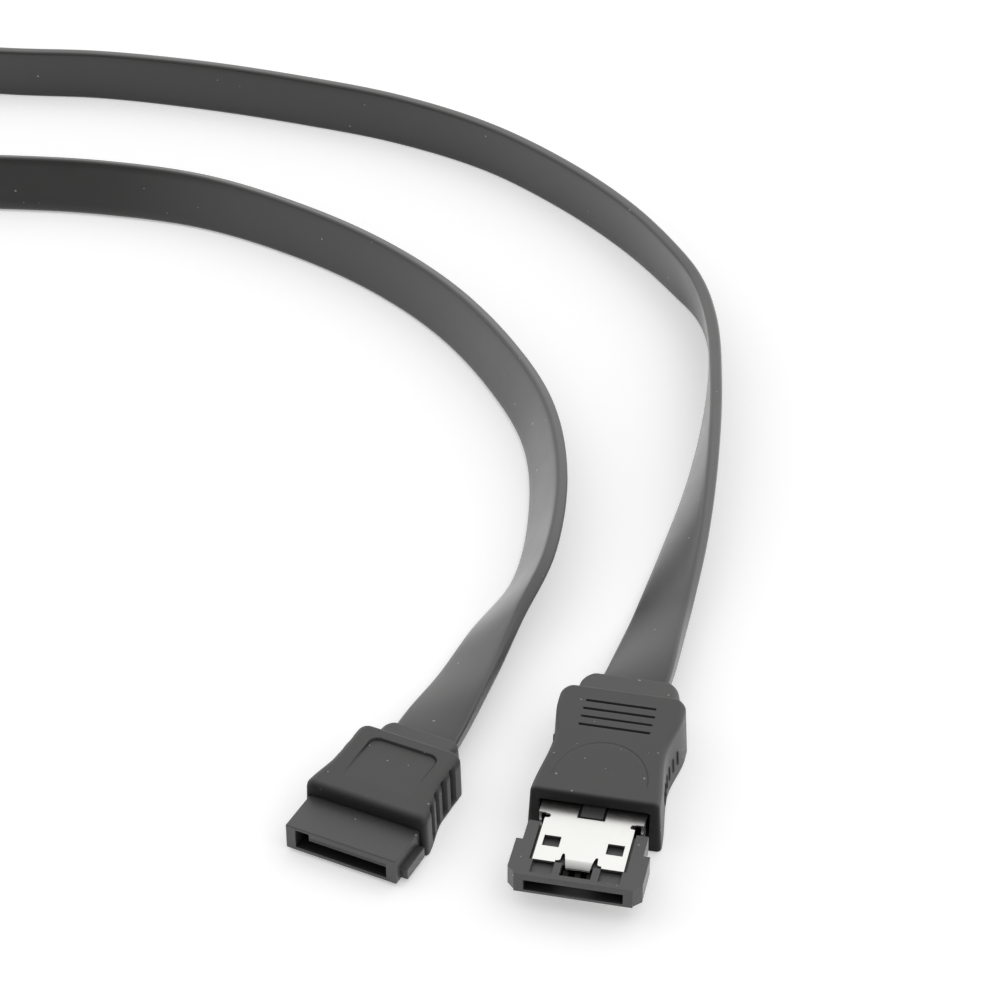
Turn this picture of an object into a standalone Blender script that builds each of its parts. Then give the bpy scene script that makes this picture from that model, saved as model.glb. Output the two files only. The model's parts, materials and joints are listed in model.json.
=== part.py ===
"""A flat drive cable: a shielded slot plug on one end, an L-keyed slot plug on the other.

Metres, Z up. Each plug is modelled with its mouth at y = 0, facing -Y, and the flat underside
of its boot on z = 0. An empty then puts it behind its end of the cord. The flat cord leaves
both necks lying flat, turns on edge and loops away behind the plugs.
"""
import math

import bmesh
import bpy
from mathutils import Matrix, Vector

MM = 0.001
GAP = 0.3 * MM                  # play between pieces that would touch
PITCH = 1.27 * MM               # contact spacing
CONTACTS = 7                    # in each slot
CORD_W, CORD_T = 7.7 * MM, 1.6 * MM

# shielded plug, from its mouth backwards
A_SLOT_END = 1.44 * MM          # slot beyond the outermost contacts
A_BAR_WALL = 1.05 * MM          # bar beyond the slot
A_WING_OUT = 0.85 * MM          # guide wings beyond the bar
A_SHIELD_HALF = 4.85 * MM
A_SHEET = 0.25 * MM             # shield sheet thickness
A_FLANGE_OUT = 0.8 * MM         # bent-in sides beyond the front of the shield
A_NOSE_LOW = 2.65 * MM
A_FLOOR = 0.35 * MM             # wall under the slot
A_SLOT_HIGH = 1.3 * MM
A_ROOF = 0.2 * MM               # wall between the slot and the top shield
A_BOOT_FRONT, A_BOOT_LONG = 11.7 * MM, 18.1 * MM
A_BOOT_TOP = 6.74 * MM
A_BOOT_OUT = 1.05 * MM          # boot beyond the bar at its mouth
A_DRAFT = 0.045                 # share of its width that the boot loses from floor to top
A_SEAT = 2.7 * MM               # metal and housing inside the boot
A_NECK_LONG = 4.2 * MM
A_NECK_WALL = 1.5 * MM          # neck beyond the cord on each side
A_WAIST_AT = 9.0 * MM           # from the boot's front back to its waist
A_FULL_AT = 2.8 * MM            # from the boot's rear forward to where it is full again
A_CORNER = 1.3 * MM             # rear corners of the boot
A_GRIPS = 6                     # grip ribs on each side
A_GRIP_FIRST, A_GRIP_STEP = 5.8 * MM, 1.36 * MM    # from the boot's front

# keyed plug, from its mouth backwards
B_SLOT_END = 1.64 * MM
B_NOSE_WALL = 1.2 * MM
B_NOSE_LOW, B_NOSE_HIGH = 0.45 * MM, 3.15 * MM
B_FLOOR = 0.5 * MM
B_SLOT_HIGH = 1.5 * MM
B_KEY_WIDE = 1.65 * MM          # leg of the L
B_KEY_ROOF = 0.3 * MM
B_BOOT_FRONT, B_BOOT_LONG = 5.3 * MM, 11.9 * MM
B_BOOT_TOP = 5.4 * MM
B_BOOT_OUT = 0.95 * MM
B_DRAFT = 0.02
B_SEAT = 2.4 * MM
B_NECK_LONG = 2.35 * MM
B_NECK_WALL = 0.85 * MM
B_WAIST_AT = 6.6 * MM
B_FULL_AT = 2.2 * MM
B_CORNER = 1.1 * MM
B_NOTCHES = 4                   # finger grooves on each side
B_NOTCH_FIRST, B_NOTCH_STEP = 2.7 * MM, 2.05 * MM

CORD_IN = 1.3 * MM              # cord inside each neck
B_YAW = math.radians(-13.87)    # the keyed plug points a little to the left of the other

# colour, roughness, metallic
RUBBER = ((0.105, 0.105, 0.102), 0.55, 0.0)
HARD_PLASTIC = ((0.095, 0.094, 0.093), 0.45, 0.0)
STEEL = ((0.82, 0.81, 0.78), 0.28, 1.0)
GOLD = ((0.83, 0.62, 0.27), 0.3, 1.0)
JACKET = ((0.085, 0.084, 0.083), 0.5, 0.0)

for old in list(bpy.data.objects):
    bpy.data.objects.remove(old, do_unlink=True)
scene = bpy.context.scene
parts = bpy.data.collections.new("esata_to_sata_cable")
cutters = bpy.data.collections.new("cutters")
scene.collection.children.link(parts)
scene.collection.children.link(cutters)


def empty(name, parent=None):
    """A marker that carries a group of pieces."""
    marker = bpy.data.objects.new(name, None)
    parts.objects.link(marker)
    marker.parent = parent
    return marker


origin = empty("middle_of_the_plugs")
plug_a = empty("shielded_plug", origin)
plug_b = empty("keyed_plug", origin)


def material(name, colour, rough, metal):
    """A plain surface of one colour."""
    mat = bpy.data.materials.new(name)
    mat.use_nodes = True
    shader = mat.node_tree.nodes["Principled BSDF"]
    shader.inputs["Base Color"].default_value = (*colour, 1.0)
    shader.inputs["Roughness"].default_value = rough
    shader.inputs["Metallic"].default_value = metal
    return mat


def move_to(obj, collection):
    """Leave an object in one collection only."""
    for home in list(obj.users_collection):
        home.objects.unlink(obj)
    collection.objects.link(obj)
    return obj


def keep(obj, name, finish, carrier):
    """Name a finished piece, give it a material and hang it on its carrier."""
    obj.name = obj.data.name = name
    obj.data.materials.clear()
    obj.data.materials.append(material(name, *finish))
    obj.parent = carrier
    return move_to(obj, parts)


def block(x0, x1, y0, y1, z0, z1):
    """A box between two corners."""
    bpy.ops.mesh.primitive_cube_add(size=1.0)
    obj = bpy.context.active_object
    centre = ((x0 + x1) / 2, (y0 + y1) / 2, (z0 + z1) / 2)
    obj.data.transform(Matrix.Translation(centre)
                       @ Matrix.Diagonal((x1 - x0, y1 - y0, z1 - z0, 1.0)))
    return obj


def on_side(side, inner, outer, *rest):
    """A box on the right (side 1) or the left (side -1) of the middle."""
    near, far = sorted((side * inner, side * outer))
    return block(near, far, *rest)


def to_mesh(curve_obj):
    """Turn a curve into a closed mesh in scene coordinates."""
    deps = bpy.context.evaluated_depsgraph_get()
    mesh = bpy.data.meshes.new_from_object(curve_obj.evaluated_get(deps))
    mesh.transform(curve_obj.matrix_world)
    bm = bmesh.new()
    bm.from_mesh(mesh)
    bmesh.ops.remove_doubles(bm, verts=bm.verts, dist=1e-6)
    bmesh.ops.recalc_face_normals(bm, faces=bm.faces)
    bm.to_mesh(mesh)
    bm.free()
    obj = bpy.data.objects.new("solid", mesh)
    scene.collection.objects.link(obj)
    bpy.data.objects.remove(curve_obj, do_unlink=True)
    return obj


ALONG = {"x": Matrix(((0, 0, 1, 0), (1, 0, 0, 0), (0, 1, 0, 0), (0, 0, 0, 1))),
         "y": Matrix(((1, 0, 0, 0), (0, 0, -1, 0), (0, 1, 0, 0), (0, 0, 0, 1))),
         "z": Matrix.Identity(4)}


def prism(points, low, high, axis="z"):
    """A flat outline drawn out along an axis.

    axis z: points are (x, y); axis x: points are (y, z); axis y: points are (x, z).
    """
    curve = bpy.data.curves.new("outline", "CURVE")
    curve.dimensions = "2D"
    curve.fill_mode = "BOTH"
    curve.extrude = (high - low) / 2
    line = curve.splines.new("POLY")
    line.points.add(len(points) - 1)
    for spot, (u, v) in zip(line.points, points):
        spot.co = (u, v, 0.0, 1.0)
    line.use_cyclic_u = True
    obj = bpy.data.objects.new("outline", curve)
    scene.collection.objects.link(obj)
    middle = Vector([(low + high) / 2 if letter == axis else 0.0 for letter in "xyz"])
    obj.matrix_world = Matrix.Translation(middle) @ ALONG[axis]
    bpy.context.view_layer.update()
    return to_mesh(obj)


def bake(obj):
    """Apply the modifiers of a body."""
    deps = bpy.context.evaluated_depsgraph_get()
    mesh = bpy.data.meshes.new_from_object(obj.evaluated_get(deps))
    obj.modifiers.clear()
    obj.data = mesh
    return obj


def combine(obj, others, operation):
    """Join bodies to one, or cut them from it, one after the other."""
    for other in others:
        move_to(other, cutters)
        other.hide_render = True
        other.display_type = "WIRE"
        step = obj.modifiers.new(operation, "BOOLEAN")
        step.operation = operation
        step.solver = "EXACT"
        step.object = other
        bake(obj)
    return obj


def soften(obj, width, segments=2, angle=40.0):
    """Round every edge that turns more than the angle."""
    step = obj.modifiers.new("soften", "BEVEL")
    step.width = width
    step.segments = segments
    step.limit_method = "ANGLE"
    step.angle_limit = math.radians(angle)
    return bake(obj)


def smooth(obj, angle=35.0):
    """Shade rounded faces smooth and leave hard edges hard."""
    obj.data.shade_smooth()
    obj.data.set_sharp_from_angle(angle=math.radians(angle))
    return obj


def ease(t):
    """Smooth step from 0 to 1."""
    t = min(max(t, 0.0), 1.0)
    return t * t * (3.0 - 2.0 * t)


def mirrored(right):
    """Close a right-hand outline, front to rear, with its mirror image."""
    return right + [(-x, y) for x, y in reversed(right)]


class Boot:
    """Plan of a boot: full at the mouth, drawn in at the waist, full again before the rear."""

    def __init__(self, front, long, mouth, waist, tail, waist_at, full_at, corner):
        self.front, self.rear, self.corner = front, front + long, corner
        self.mouth, self.waist, self.tail = mouth, waist, tail
        self.waist_at, self.full_at = self.front + waist_at, self.rear - full_at

    def half(self, y):
        """Half width at y."""
        if y < self.waist_at:
            t = (y - self.front) / (self.waist_at - self.front)
            return self.mouth + (self.waist - self.mouth) * ease(t)
        t = (y - self.waist_at) / (self.full_at - self.waist_at)
        return self.waist + (self.tail - self.waist) * ease(t)

    def outline(self, steps=14):
        """Both sides, with rounded rear corners."""
        last = self.rear - self.corner
        right = []
        for i in range(steps + 1):
            y = self.front + (last - self.front) * i / steps
            right.append((self.half(y), y))
        hub = right[-1][0] - self.corner
        for i in range(1, 5):
            turn = math.radians(90.0 * i / 4)
            right.append((hub + self.corner * math.cos(turn), last + self.corner * math.sin(turn)))
        return mirrored(right)


def boot_body(shape, high, draft, rounding):
    """Boot without its holes: the plan drawn up, leaning in towards the top, edges rounded."""
    body = prism(shape.outline(), 0.0, high)
    for v in body.data.vertices:
        v.co.x *= 1.0 - draft * v.co.z / high
    return soften(body, rounding, 4)


def contact(x, y0, y1, z0, rise):
    """Spring contact: a narrow strip bowed up near its tip."""
    width, thick = 0.6 * MM, 0.18 * MM
    upper = []
    for i in range(15):
        t = i / 14
        bow = math.exp(-((t - 0.24) / 0.13) ** 2)
        upper.append((y0 + (y1 - y0) * t, z0 + thick + rise * bow))
    lower = [(y, z - thick) for y, z in reversed(upper)]
    return prism(upper + lower, x - width / 2, x + width / 2, "x")


def contact_row(name, y0, y1, z0, rise, carrier):
    """One spring for each contact, the middle one in the plug's plane of symmetry."""
    for i in range(CONTACTS):
        spring = contact((i - (CONTACTS - 1) / 2) * PITCH, y0, y1, z0, rise)
        keep(spring, "%s_%d" % (name, i + 1), GOLD, carrier)


# sizes of the shielded plug that follow from the driving ones
contacts_half = PITCH * (CONTACTS - 1) / 2
a_slot_half = contacts_half + A_SLOT_END
a_bar_half = a_slot_half + A_BAR_WALL
a_rail_half = a_bar_half + 0.15 * MM
a_wing_half = a_bar_half + A_WING_OUT
a_bed_half = A_SHIELD_HALF + GAP
a_flange_half = A_SHIELD_HALF + A_FLANGE_OUT
a_slot_low = A_NOSE_LOW + A_FLOOR
a_slot_top = a_slot_low + A_SLOT_HIGH
a_deck = a_slot_top + A_ROOF                  # bed of the top shield
a_sheet_top = a_deck + GAP + A_SHEET          # level with the bar's top
a_under_low = A_NOSE_LOW - GAP - A_SHEET      # underside of the bottom shield
a_shield_front = 2.65 * MM
a_core_rear = A_BOOT_FRONT + A_SEAT
a_flange_front = A_BOOT_FRONT - 1.65 * MM     # where the shield widens
a_rail_rear = a_flange_front - 1.55 * MM
a_slot_deep = a_rail_rear - 0.5 * MM

# Shielded plug: inner housing with slot, wings, rails, spring pockets and tab
wing_front, wing_rear = 1.1 * MM, 5.45 * MM
chamfer_at = 0.2 * MM
core_half = A_SHIELD_HALF - 0.25 * MM
right = [(a_bar_half, 0.0), (a_bar_half, chamfer_at), (a_wing_half, wing_front),
         (a_wing_half, wing_rear), (a_rail_half, wing_rear), (a_rail_half, a_rail_rear),
         (core_half, a_rail_rear), (core_half, a_core_rear)]
housing = prism(mirrored(right), A_NOSE_LOW, a_sheet_top)
pocket_front, pocket_rear = 0.65 * MM, a_shield_front + 0.35 * MM
pocket_in, pocket_out = 2.45 * MM, A_SHIELD_HALF - 0.1 * MM
well_half = 1.66 * MM                         # open well that the tongue bends into
above = a_sheet_top + 4 * MM
cuts = [block(-a_slot_half, a_slot_half, -1 * MM, a_slot_deep, a_slot_low, a_slot_top),
        block(-a_bed_half, a_bed_half, a_shield_front - 0.03 * MM, a_core_rear + 5 * MM,
              a_deck, above),
        block(-well_half, well_half, pocket_front + 0.1 * MM, pocket_rear,
              a_slot_top - 0.3 * MM, above)]
for side in (-1, 1):
    cuts.append(on_side(side, pocket_in, pocket_out, pocket_front, pocket_rear,
                        a_deck + 0.06 * MM, above))
combine(housing, cuts, "DIFFERENCE")
TAB_HALF = 1.2 * MM
notch_half = TAB_HALF + GAP                   # cut-out of the shield round the tab
notch_front = a_flange_front - 0.2 * MM
tab = block(-TAB_HALF, TAB_HALF, notch_front + GAP, a_core_rear - 0.2 * MM,
            a_deck - 0.1 * MM, a_sheet_top)
combine(housing, [tab], "UNION")
keep(soften(housing, 0.07 * MM, 1, 60.0), "esata_housing", HARD_PLASTIC, plug_a)

# Shielded plug: stamped shields with windows, slits, side notches, rear cut-out and tongue
TONGUE_ROOT, TONGUE_TIP = 1.63 * MM, 1.3 * MM      # half widths
tongue_free = a_shield_front + 1.37 * MM           # the slits run back to here
tongue_bend = a_shield_front + 0.65 * MM
shield_rear = a_core_rear - 0.1 * MM


def shield_sheet(low, high):
    """Stamped plate: windows, tapering slits beside the tongue, side notches, cut-out."""
    free = tongue_free
    bite, bite_at = 0.6 * MM, a_flange_front - 0.45 * MM
    slit_out = TONGUE_ROOT + 0.35 * MM
    right = [(TONGUE_ROOT - 0.27 * MM, tongue_bend - 0.05 * MM), (TONGUE_ROOT, free),
             (TONGUE_ROOT + 0.13 * MM, free + 0.1 * MM), (TONGUE_ROOT + 0.27 * MM, free),
             (slit_out, free - 0.92 * MM), (slit_out + 0.25 * MM, a_shield_front + GAP),
             (pocket_in, a_shield_front + GAP), (pocket_in, a_shield_front),
             (A_SHIELD_HALF, a_shield_front), (A_SHIELD_HALF, bite_at - 0.36 * MM),
             (A_SHIELD_HALF - bite + 0.15 * MM, bite_at - 0.3 * MM),
             (A_SHIELD_HALF - bite, bite_at),
             (A_SHIELD_HALF - bite + 0.15 * MM, bite_at + 0.3 * MM),
             (A_SHIELD_HALF, bite_at + 0.36 * MM), (A_SHIELD_HALF, a_flange_front),
             (a_flange_half, a_flange_front),
             (a_flange_half, shield_rear), (notch_half, shield_rear), (notch_half, notch_front)]
    plate = prism(mirrored(right), low, high)
    windows = [on_side(side, A_SHIELD_HALF - 2.35 * MM, A_SHIELD_HALF - 0.55 * MM,
                       a_shield_front + 2.25 * MM, a_shield_front + 3.9 * MM,
                       low - 1 * MM, high + 1 * MM) for side in (-1, 1)]
    return combine(plate, windows, "DIFFERENCE")


def tongue(top, drop):
    """Spring tongue: a strip that bends down ahead of the plate and narrows to its tip."""
    reach, root = 0.78 * MM, tongue_free + 0.28 * MM
    upper = [(root, top), (tongue_bend, top)]
    for i in range(1, 6):
        t = i / 5
        upper.append((tongue_bend - reach * t, top - drop * t * (0.35 + 0.65 * t)))
    lower = [(y, z - A_SHEET) for y, z in reversed(upper)]
    strip = prism(upper + lower, -3 * MM, 3 * MM, "x")
    tip = tongue_bend - reach - 1 * MM
    taper = prism(mirrored([(TONGUE_TIP, tip), (TONGUE_TIP, tongue_bend - reach),
                            (TONGUE_ROOT, tongue_free), (TONGUE_ROOT, root)]),
                  top - 3 * MM, top + 3 * MM)
    return combine(strip, [taper], "INTERSECT")


def flanges(low, high):
    """The two sides of a shield, bent over its wide rear part."""
    outer = a_flange_half - 0.02 * MM
    return [on_side(side, outer - A_SHEET, outer, a_flange_front + 0.02 * MM,
                    shield_rear - 0.1 * MM, low, high) for side in (-1, 1)]


half_way = (A_NOSE_LOW + a_sheet_top) / 2
shield = shield_sheet(a_sheet_top - A_SHEET, a_sheet_top)
combine(shield, [tongue(a_sheet_top, 0.47 * MM)]
        + flanges(half_way - 0.05 * MM, a_sheet_top - 0.05 * MM), "UNION")
keep(shield, "esata_shield_top", STEEL, plug_a)
under = shield_sheet(a_under_low, a_under_low + A_SHEET)
combine(under, flanges(a_under_low + 0.05 * MM, half_way - 0.05 * MM - GAP), "UNION")
keep(under, "esata_shield_bottom", STEEL, plug_a)

contact_row("esata_contact", 1.6 * MM, a_slot_deep - GAP, a_slot_low + GAP, 0.42 * MM, plug_a)

# Shielded plug: boot with waist, grip ribs, engraved lines and neck
a_mouth_half = a_bar_half + A_BOOT_OUT
plan = Boot(A_BOOT_FRONT, A_BOOT_LONG, a_mouth_half, a_mouth_half - 0.8 * MM,
            a_mouth_half - 0.05 * MM, A_WAIST_AT, A_FULL_AT, A_CORNER)
a_neck_rear = plan.rear + A_NECK_LONG
a_cord_z = A_BOOT_TOP / 2


def neck_solid(plan_rear, long, half, top, wall, fall):
    """Neck that lets the cord out: narrower than the boot, its top falling to the rear."""
    root, rear = plan_rear - 1.3 * MM, plan_rear + long
    across, deep = half - 1.9 * wall, 0.55 * long      # the rounded rear corners
    right = [(half, root)]
    for i in range(6):
        turn = math.radians(18 * i)
        right.append((half - across * (1 - math.cos(turn)) / 2,
                      rear - deep * (1 - math.sin(turn))))
    neck = prism(mirrored(right), -1 * MM, top + 1 * MM)
    over = 0.5 * MM
    side = prism([(root - over, wall), (rear + over, wall + 0.2 * MM),
                  (rear + over, top - wall - fall), (root - over, top - wall)],
                 -3 * half, 3 * half, "x")
    return soften(combine(neck, [side], "INTERSECT"), 0.6 * MM, 3)


def cord_pocket(neck_rear, middle):
    """Flat hole at the end of a neck that the cord goes into."""
    half, thick = CORD_W / 2 + GAP, CORD_T / 2 + GAP
    return block(-half, half, neck_rear - CORD_IN - GAP, neck_rear + CORD_W,
                 middle - thick, middle + thick)


boot = boot_body(plan, A_BOOT_TOP, A_DRAFT, 0.62 * MM)
GRIP_LOW, GRIP_TOP, GRIP_OUT = 1.85 * MM, 3.6 * MM, 0.22 * MM
RIB_HALF = 0.14 * MM
extras = [neck_solid(plan.rear, A_NECK_LONG, CORD_W / 2 + A_NECK_WALL, A_BOOT_TOP,
                     0.7 * MM, 0.7 * MM)]
for i in range(A_GRIPS):
    y = plan.front + A_GRIP_FIRST + i * A_GRIP_STEP
    wall = plan.half(y)
    extras += [on_side(side, wall - 1 * MM, wall + GRIP_OUT, y - RIB_HALF, y + RIB_HALF,
                       GRIP_LOW, GRIP_TOP) for side in (-1, 1)]
combine(boot, extras, "UNION")
mouth = block(-a_flange_half - GAP, a_flange_half + GAP, A_BOOT_FRONT - 2 * MM,
              a_core_rear + GAP, a_under_low - GAP, a_sheet_top + GAP)
cuts = [soften(mouth, 0.25 * MM, 1), cord_pocket(a_neck_rear, a_cord_z)]
LINE_HALF, LINE_WIDE, LINE_DEEP = 3.9 * MM, 0.34 * MM, 0.3 * MM
for i in range(4):
    y = plan.rear - 6.84 * MM + i * 1.38 * MM
    cuts.append(block(-LINE_HALF, LINE_HALF, y, y + LINE_WIDE,
                      A_BOOT_TOP - LINE_DEEP, A_BOOT_TOP + 3 * MM))
ARC_X, ARC_Y, ARC_AT, ARC_LINE = 5.2 * MM, 6.5 * MM, A_BOOT_FRONT + 2.3 * MM, 0.08 * MM
bends = [math.radians(4 + 172 * i / 24) for i in range(25)]
band = [((ARC_X + ARC_LINE) * math.cos(t), ARC_AT + (ARC_Y + ARC_LINE) * math.sin(t))
        for t in bends]
band += [((ARC_X - ARC_LINE) * math.cos(t), ARC_AT + (ARC_Y - ARC_LINE) * math.sin(t))
         for t in reversed(bends)]
cuts.append(prism(band, A_BOOT_TOP - 0.12 * MM, A_BOOT_TOP + 3 * MM))
keep(smooth(combine(boot, cuts, "DIFFERENCE")), "esata_boot", RUBBER, plug_a)

# Keyed plug: housing with L slot and side rail
b_slot_half = contacts_half + B_SLOT_END
b_nose_half = b_slot_half + B_NOSE_WALL
b_nose_top = B_NOSE_LOW + B_NOSE_HIGH
b_nose_rear = B_BOOT_FRONT + B_SEAT
b_slot_low = B_NOSE_LOW + B_FLOOR
b_slot_top = b_slot_low + B_SLOT_HIGH
b_slot_deep = b_nose_rear - 0.8 * MM
key_top = b_nose_top - B_KEY_ROOF
key_side = B_KEY_WIDE - b_slot_half
nose = soften(block(-b_nose_half, b_nose_half, 0.0, b_nose_rear, B_NOSE_LOW, b_nose_top),
              0.12 * MM, 2)
rail = soften(block(b_nose_half - 0.5 * MM, b_nose_half + 0.8 * MM, 1.05 * MM,
                    B_BOOT_FRONT - GAP, B_NOSE_LOW + 0.1 * MM, B_NOSE_LOW + 1.55 * MM),
              0.08 * MM, 1)
combine(nose, [rail], "UNION")
key_slot = prism([(-b_slot_half, b_slot_low), (b_slot_half, b_slot_low),
                  (b_slot_half, b_slot_top), (key_side, b_slot_top),
                  (key_side, key_top), (-b_slot_half, key_top)], -1 * MM, b_slot_deep, "y")
keep(combine(nose, [key_slot], "DIFFERENCE"), "sata_housing", HARD_PLASTIC, plug_b)

contact_row("sata_contact", 1.2 * MM, b_slot_deep - GAP, b_slot_low + GAP, 0.5 * MM, plug_b)

# Keyed plug: boot with finger grooves, sunk panel and neck
b_mouth_half = b_nose_half + B_BOOT_OUT
plan = Boot(B_BOOT_FRONT, B_BOOT_LONG, b_mouth_half, b_mouth_half - 1.2 * MM,
            b_mouth_half - 1.3 * MM, B_WAIST_AT, B_FULL_AT, B_CORNER)
b_neck_rear = plan.rear + B_NECK_LONG
b_cord_z = B_BOOT_TOP / 2
grip = boot_body(plan, B_BOOT_TOP, B_DRAFT, 0.9 * MM)
combine(grip, [neck_solid(plan.rear, B_NECK_LONG, CORD_W / 2 + B_NECK_WALL, B_BOOT_TOP,
                          0.5 * MM, 0.55 * MM)], "UNION")
cuts = [block(-b_nose_half - GAP, b_nose_half + GAP, B_BOOT_FRONT - 2 * MM, b_nose_rear + GAP,
              B_NOSE_LOW - GAP, b_nose_top + GAP),
        cord_pocket(b_neck_rear, b_cord_z)]
PANEL_HALF, PANEL_LONG, PANEL_DEEP = 4.15 * MM, 7.0 * MM, 0.32 * MM
panel = soften(block(-PANEL_HALF, PANEL_HALF, -PANEL_LONG, 0.0, 0.0, 3 * MM), 1.1 * MM, 4)
panel.data.transform(Matrix.Translation((0, plan.rear - 2.1 * MM, B_BOOT_TOP - PANEL_DEEP))
                     @ Matrix.Rotation(math.radians(-2.4), 4, "X"))
cuts.append(panel)
NOTCH_DEEP, NOTCH_OPEN = 0.75 * MM, 1.1 * MM
for i in range(B_NOTCHES):
    y = plan.front + B_NOTCH_FIRST + i * B_NOTCH_STEP
    wall = plan.half(y)
    for side in (-1, 1):
        notch = [(side * (wall - NOTCH_DEEP), y), (side * (wall + 1 * MM), y - side * NOTCH_OPEN),
                 (side * (wall + 1 * MM), y + side * NOTCH_OPEN)]
        cuts.append(prism(notch, 0.5 * MM, 4.8 * MM))
keep(smooth(combine(grip, cuts, "DIFFERENCE")), "sata_boot", RUBBER, plug_b)

# Cord: route points in mm and degrees (x, y, turn on edge), from plug to plug
OUT = [(0.0, 32.7, 0), (0.45, 36.5, 8), (0.7, 45.8, 25), (1.2, 61.6, 46),
       (1.0, 76.7, 67), (-0.1, 91.9, 83), (-2.2, 106.8, 97), (-5.55, 116.75, 101),
       (-10.2, 123.7, 96), (-18.85, 133.95, 92), (-30.2, 143.85, 91), (-43.15, 152.1, 92),
       (-57.85, 157.4, 90), (-73.5, 160.0, 89), (-89.3, 161.4, 89), (-105.1, 161.3, 92),
       (-120.8, 159.2, 94)]
BACK = [(-109.1, 127.0, 107), (-94.0, 128.65, 107), (-79.0, 127.9, 103), (-64.7, 123.5, 100),
        (-51.15, 116.75, 100), (-39.05, 107.6, 102), (-28.95, 96.2, 106), (-21.1, 83.55, 110),
        (-16.8, 69.3, 118), (-15.44, 53.6, 125), (-17.6, 42.2, 142), (-19.2, 31.4, 158),
        (-20.35, 24.4, 174), (-21.084, 19.85, 180)]
LOOP_X, LOOP_Y, LOOP_R = -141.3, 139.9, 19.0       # U-turn between the two runs
CORD_POINTS = 80
LIFT = 18 * MM                  # stretch over which the cord comes down from each plug

loop = []
for i in range(7):
    turn = math.radians(90 + 30 * i)
    loop.append((LOOP_X + LOOP_R * math.cos(turn), LOOP_Y + LOOP_R * math.sin(turn),
                 95 + 2 * i))
knots = [(x * MM, y * MM, turn) for x, y, turn in OUT + loop + BACK]


def between(a, b, t, ta, tb):
    """Point at t on the straight run from a at ta to b at tb."""
    share = (t - ta) / (tb - ta)
    return [u + (v - u) * share for u, v in zip(a, b)]


def curve_through(points, fine=20):
    """Smooth curve through the points (centripetal Catmull-Rom), closely sampled."""
    first = [2 * a - b for a, b in zip(points[0], points[1])]
    last = [2 * a - b for a, b in zip(points[-1], points[-2])]
    ends = [first] + list(points) + [last]
    dense = []
    for p0, p1, p2, p3 in zip(ends, ends[1:], ends[2:], ends[3:]):
        t1 = math.dist(p0[:2], p1[:2]) ** 0.5
        t2 = t1 + math.dist(p1[:2], p2[:2]) ** 0.5
        t3 = t2 + math.dist(p2[:2], p3[:2]) ** 0.5
        for j in range(fine):
            t = t1 + (t2 - t1) * j / fine
            ab, bc, cd = (between(p0, p1, t, 0.0, t1), between(p1, p2, t, t1, t2),
                          between(p2, p3, t, t2, t3))
            dense.append(between(between(ab, bc, t, 0.0, t2), between(bc, cd, t, t1, t3),
                                 t, t1, t2))
    return dense + [list(points[-1])]


def evenly(dense, count):
    """Evenly spaced points along a closely sampled curve, each with its distance."""
    run = [0.0]
    for a, b in zip(dense, dense[1:]):
        run.append(run[-1] + math.dist(a[:2], b[:2]))
    out, k = [], 0
    for i in range(count):
        s = run[-1] * i / (count - 1)
        while k < len(run) - 2 and run[k + 1] < s:
            k += 1
        out.append(between(dense[k], dense[k + 1], s, run[k], run[k + 1]) + [s])
    return out


samples = evenly(curve_through(knots), CORD_POINTS)
length = samples[-1][3]
curve = bpy.data.curves.new("cord", "CURVE")
curve.dimensions = "3D"
curve.twist_mode = "Z_UP"
curve.use_fill_caps = True
curve.extrude = (CORD_W - CORD_T) / 2
curve.bevel_depth = CORD_T / 2
curve.bevel_resolution = 3
line = curve.splines.new("POLY")
line.points.add(CORD_POINTS - 1)
for spot, (x, y, turn, s) in zip(line.points, samples):
    on_edge = math.radians(turn)
    z = curve.extrude * abs(math.sin(on_edge)) + CORD_T / 2
    z += (a_cord_z - CORD_T / 2) * ease(1 - s / LIFT)
    z += (b_cord_z - CORD_T / 2) * ease(1 - (length - s) / LIFT)
    spot.co = (x, y, z, 1.0)
    spot.tilt = math.radians(90) - on_edge
cord = bpy.data.objects.new("cord", curve)
scene.collection.objects.link(cord)
bpy.context.view_layer.update()
keep(smooth(to_mesh(cord)), "cable", JACKET, origin)
print("cord length mm", round(length / MM, 2))

# each plug goes on its end of the cord, and the middle of the two plugs to the origin
plug_a.location = Vector((*knots[0][:2], 0)) - Vector((0, a_neck_rear - CORD_IN, 0))
plug_b.rotation_euler.z = B_YAW
plug_b.location = (Vector((*knots[-1][:2], 0))
                   - Matrix.Rotation(B_YAW, 3, "Z") @ Vector((0, b_neck_rear - CORD_IN, 0)))
bpy.context.view_layer.update()
corners = [obj.matrix_world @ v.co for plug in (plug_a, plug_b)
           for obj in plug.children for v in obj.data.vertices]
lows, highs = (Vector([pick(c[i] for c in corners) for i in range(3)]) for pick in (min, max))
origin.location = (-(lows.x + highs.x) / 2, -(lows.y + highs.y) / 2, -lows.z)
print("origin mm", *(round(v / MM, 3) for v in origin.location))
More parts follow.
